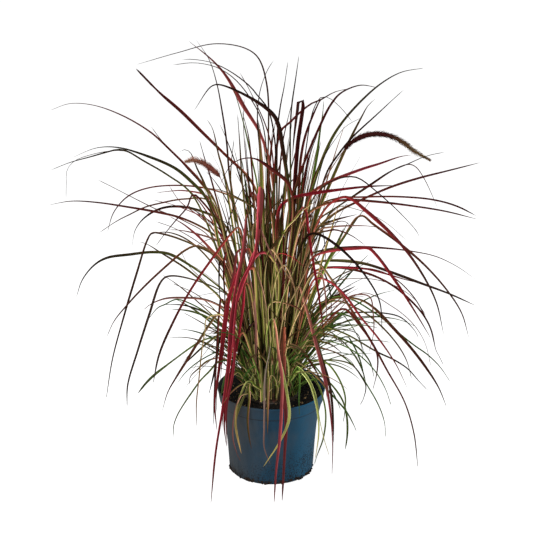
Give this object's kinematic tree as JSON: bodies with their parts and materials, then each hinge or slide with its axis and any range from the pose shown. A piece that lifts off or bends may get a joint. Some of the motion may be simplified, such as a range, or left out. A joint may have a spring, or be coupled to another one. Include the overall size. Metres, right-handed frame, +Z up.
{
  "type": "potted_fountain_grass",
  "caption": "Clump of red fountain grass with long arching blades and two small plumes, in a slate-blue plastic nursery pot",
  "frame": {"origin": "centre of the pot's underside, on the ground", "axes": "+Z up out of the pot, -Y toward the side seen in the picture, +X to the right of that view"},
  "size_m": [0.8789, 0.6503, 0.9208],
  "materials": {
    "pot_plastic": "satin",
    "potting_soil": "matte",
    "sheaths": "satin",
    "blades_maroon": "satin",
    "blades_olive": "satin",
    "blades_crimson": "satin",
    "culms": "satin",
    "plumes": "matte"
  },
  "bodies": {
    "root": {"pot": "pot_plastic", "soil": "potting_soil", "crown": "sheaths", "leaf_left_1": "blades_maroon", "leaf_left_2": "blades_olive", "leaf_left_3": "blades_maroon", "leaf_left_4": "blades_maroon", "leaf_left_5": "blades_maroon", "leaf_left_6": "blades_maroon", "leaf_left_7": "blades_olive", "leaf_left_8": "blades_crimson", "leaf_left_9": "blades_maroon", "leaf_left_10": "blades_maroon", "leaf_left_11": "blades_olive", "leaf_left_12": "blades_maroon", "leaf_left_13": "blades_olive", "leaf_left_14": "blades_olive", "leaf_top_1": "blades_maroon", "leaf_top_2": "blades_crimson", "leaf_top_3": "blades_maroon", "leaf_top_4": "blades_olive", "leaf_top_5": "blades_maroon", "leaf_top_6": "blades_maroon", "leaf_right_1": "blades_olive", "leaf_right_2": "blades_maroon", "leaf_right_3": "blades_maroon", "leaf_right_4": "blades_maroon", "leaf_right_5": "blades_maroon", "leaf_right_6": "blades_maroon", "leaf_right_7": "blades_olive", "leaf_right_8": "blades_maroon", "leaf_right_9": "blades_crimson", "leaf_right_10": "blades_maroon", "leaf_right_11": "blades_maroon", "leaf_right_12": "blades_maroon", "leaf_right_13": "blades_maroon", "leaf_right_14": "blades_crimson", "leaf_right_15": "blades_maroon", "leaf_right_16": "blades_olive", "leaf_right_17": "blades_crimson", "leaf_front_1": "blades_crimson", "leaf_front_2": "blades_crimson", "leaf_front_3": "blades_crimson", "leaf_front_4": "blades_maroon", "leaf_front_5": "blades_olive", "leaf_front_6": "blades_crimson", "leaf_front_7": "blades_crimson", "leaf_front_8": "blades_olive", "leaf_front_9": "blades_olive", "leaf_front_10": "blades_crimson", "leaf_back_1": "blades_maroon", "leaf_back_2": "blades_olive", "leaf_back_3": "blades_maroon", "leaf_back_4": "blades_maroon", "leaf_back_5": "blades_olive", "culm_right": "culms", "plume_right": "plumes", "culm_left": "culms", "plume_left": "plumes"}
  },
  "joints": []
}
